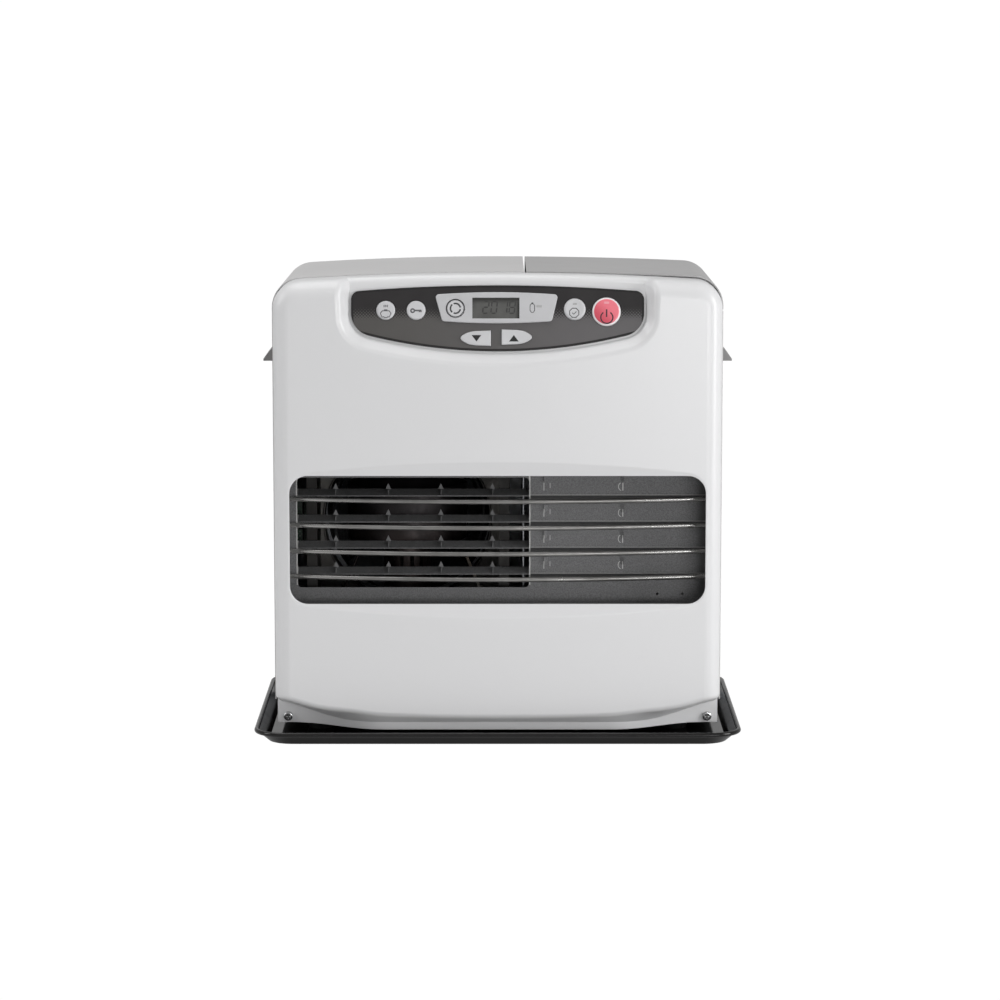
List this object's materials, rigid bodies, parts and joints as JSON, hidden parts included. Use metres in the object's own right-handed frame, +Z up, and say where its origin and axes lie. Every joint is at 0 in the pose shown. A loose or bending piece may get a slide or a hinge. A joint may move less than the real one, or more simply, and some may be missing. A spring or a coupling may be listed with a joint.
{
  "type": "paraffin heater",
  "caption": "Free-standing fan-assisted paraffin heater: boxy painted cabinet with curved control fascia, barred louvred outlet, lidded tank bay, side grips and drip tray.",
  "frame": {"origin": "centre of the drip tray footprint, on the floor", "axes": "+Z up, the front faces -Y, +X to the right of someone facing the front"},
  "size_m": [0.46, 0.3, 0.4405],
  "materials": {
    "white_paint": "satin white powder coat",
    "grey_paint": "silver-grey satin paint",
    "enamel": "glossy dark brown-black enamel",
    "outlet_paint": "heat-resistant dark grey paint",
    "rod_steel": "satin dark steel",
    "galvanised": "galvanised sheet",
    "heat_steel": "heat-tinted steel",
    "screw_steel": "plated steel",
    "fascia_plastic": "dark printed fascia",
    "key_plastic": "pale grey moulded keys",
    "power_plastic": "translucent red-pink key",
    "display_glass": "display window",
    "board_green": "circuit board",
    "dark_plastic": "dark grey moulded plastic",
    "copper_pipe": "copper",
    "brass_parts": "brass and plated parts",
    "ceramic_white": "ceramic sleeve",
    "tank_paint": "painted fuel tank",
    "cap_plastic": "black moulded cap",
    "gauge_clear": "clear level strip",
    "rubber_feet": "black rubber"
  },
  "bodies": {
    "heater": {"drip_tray": "enamel", "base_pan": "galvanised", "feet": "rubber_feet", "cabinet_shell": "grey_paint", "right_side_panel": "grey_paint", "rear_panel": "galvanised", "cord_gland": "dark_plastic", "rear_screws": "screw_steel", "front_panel": "white_paint", "panel_screws": "screw_steel", "lid_brackets": "galvanised", "control_fascia": "fascia_plastic", "display_bezel": "key_plastic", "display_window": "display_glass", "control_board": "board_green", "louvre_plate": "outlet_paint", "guard_rods": "rod_steel", "warm_air_duct": "heat_steel", "duct_feet": "galvanised", "fan_shroud": "galvanised", "fan_motor": "galvanised", "fan_guard": "outlet_paint", "filter_rails": "dark_plastic", "combustion_chamber": "heat_steel", "burner_pot": "heat_steel", "burner_stand": "galvanised", "ignition_electrode": "ceramic_white", "flame_sensor": "ceramic_white", "burner_blower": "galvanised", "blower_motor": "galvanised", "tank_partition": "galvanised", "fuel_sump": "galvanised", "sump_strainer": "brass_parts", "fuel_pump": "brass_parts", "fuel_pipe": "copper_pipe", "left_handle": "dark_plastic", "right_handle": "dark_plastic", "power_board": "board_green", "tilt_switch": "dark_plastic", "room_sensor": "dark_plastic"},
    "lid": {"tank_lid": "grey_paint"},
    "tank": {"fuel_tank": "tank_paint", "tank_cap": "cap_plastic", "tank_gauge": "gauge_clear"},
    "tank_bail": {"tank_handle": "rod_steel"},
    "fan": {"fan_blade": "outlet_paint"},
    "blower_wheel": {"blower_impeller": "outlet_paint"},
    "filter": {"air_filter": "dark_plastic"},
    "save_key": {"save_button": "key_plastic"},
    "lock_key": {"lock_button": "key_plastic"},
    "timer_key": {"timer_button": "key_plastic"},
    "power_key": {"power_button": "power_plastic"},
    "enter_key": {"enter_button": "key_plastic"},
    "down_key": {"down_button": "key_plastic"},
    "up_key": {"up_button": "key_plastic"}
  },
  "joints": [
    {"name": "lid_hinge", "type": "hinge", "parent": "heater", "child": "lid", "pos_m": [0.12, 0.126, 0.428], "axis": [-1, 0, 0], "range_deg": [0, 95]},
    {"name": "tank_lift", "type": "slide", "parent": "heater", "child": "tank", "axis": [0, 0, 1], "range_m": [0, 0.1]},
    {"name": "tank_bail_fold", "type": "hinge", "parent": "tank", "child": "tank_bail", "pos_m": [0.1145, 0.03, 0.411], "axis": [-1, 0, 0], "range_deg": [0, 90]},
    {"name": "fan_spin", "type": "hinge", "parent": "heater", "child": "fan", "pos_m": [-0.09, 0.1, 0.181], "axis": [0, -1, 0], "continuous": true},
    {"name": "blower_spin", "type": "hinge", "parent": "heater", "child": "blower_wheel", "pos_m": [-0.168, 0.02, 0.057], "axis": [0, -1, 0], "continuous": true},
    {"name": "filter_slide", "type": "slide", "parent": "heater", "child": "filter", "axis": [0, 0, 1], "range_m": [0, 0.15]},
    {"name": "save_press", "type": "slide", "parent": "heater", "child": "save_key", "axis": [0, 0.9799, -0.1994], "range_m": [0, 0.001], "stiffness_N_per_m": 900, "springref_m": -0.0006},
    {"name": "lock_press", "type": "slide", "parent": "heater", "child": "lock_key", "axis": [0, 0.9799, -0.1994], "range_m": [0, 0.001], "stiffness_N_per_m": 900, "springref_m": -0.0006},
    {"name": "timer_press", "type": "slide", "parent": "heater", "child": "timer_key", "axis": [0, 0.9799, -0.1994], "range_m": [0, 0.001], "stiffness_N_per_m": 900, "springref_m": -0.0006},
    {"name": "power_press", "type": "slide", "parent": "heater", "child": "power_key", "axis": [0, 0.9799, -0.1994], "range_m": [0, 0.001], "stiffness_N_per_m": 900, "springref_m": -0.0006},
    {"name": "enter_press", "type": "slide", "parent": "heater", "child": "enter_key", "axis": [0, 0.9799, -0.1994], "range_m": [0, 0.001], "stiffness_N_per_m": 900, "springref_m": -0.0006},
    {"name": "down_press", "type": "slide", "parent": "heater", "child": "down_key", "axis": [0, 0.9799, -0.1994], "range_m": [0, 0.001], "stiffness_N_per_m": 900, "springref_m": -0.0006},
    {"name": "up_press", "type": "slide", "parent": "heater", "child": "up_key", "axis": [0, 0.9799, -0.1994], "range_m": [0, 0.001], "stiffness_N_per_m": 900, "springref_m": -0.0006}
  ],
  "couplings": [
    {"joint": "tank_lift", "follows": "lid_hinge", "m_per_rad": 0.06},
    {"joint": "tank_bail_fold", "follows": "lid_hinge", "ratio": 0.9474}
  ]
}
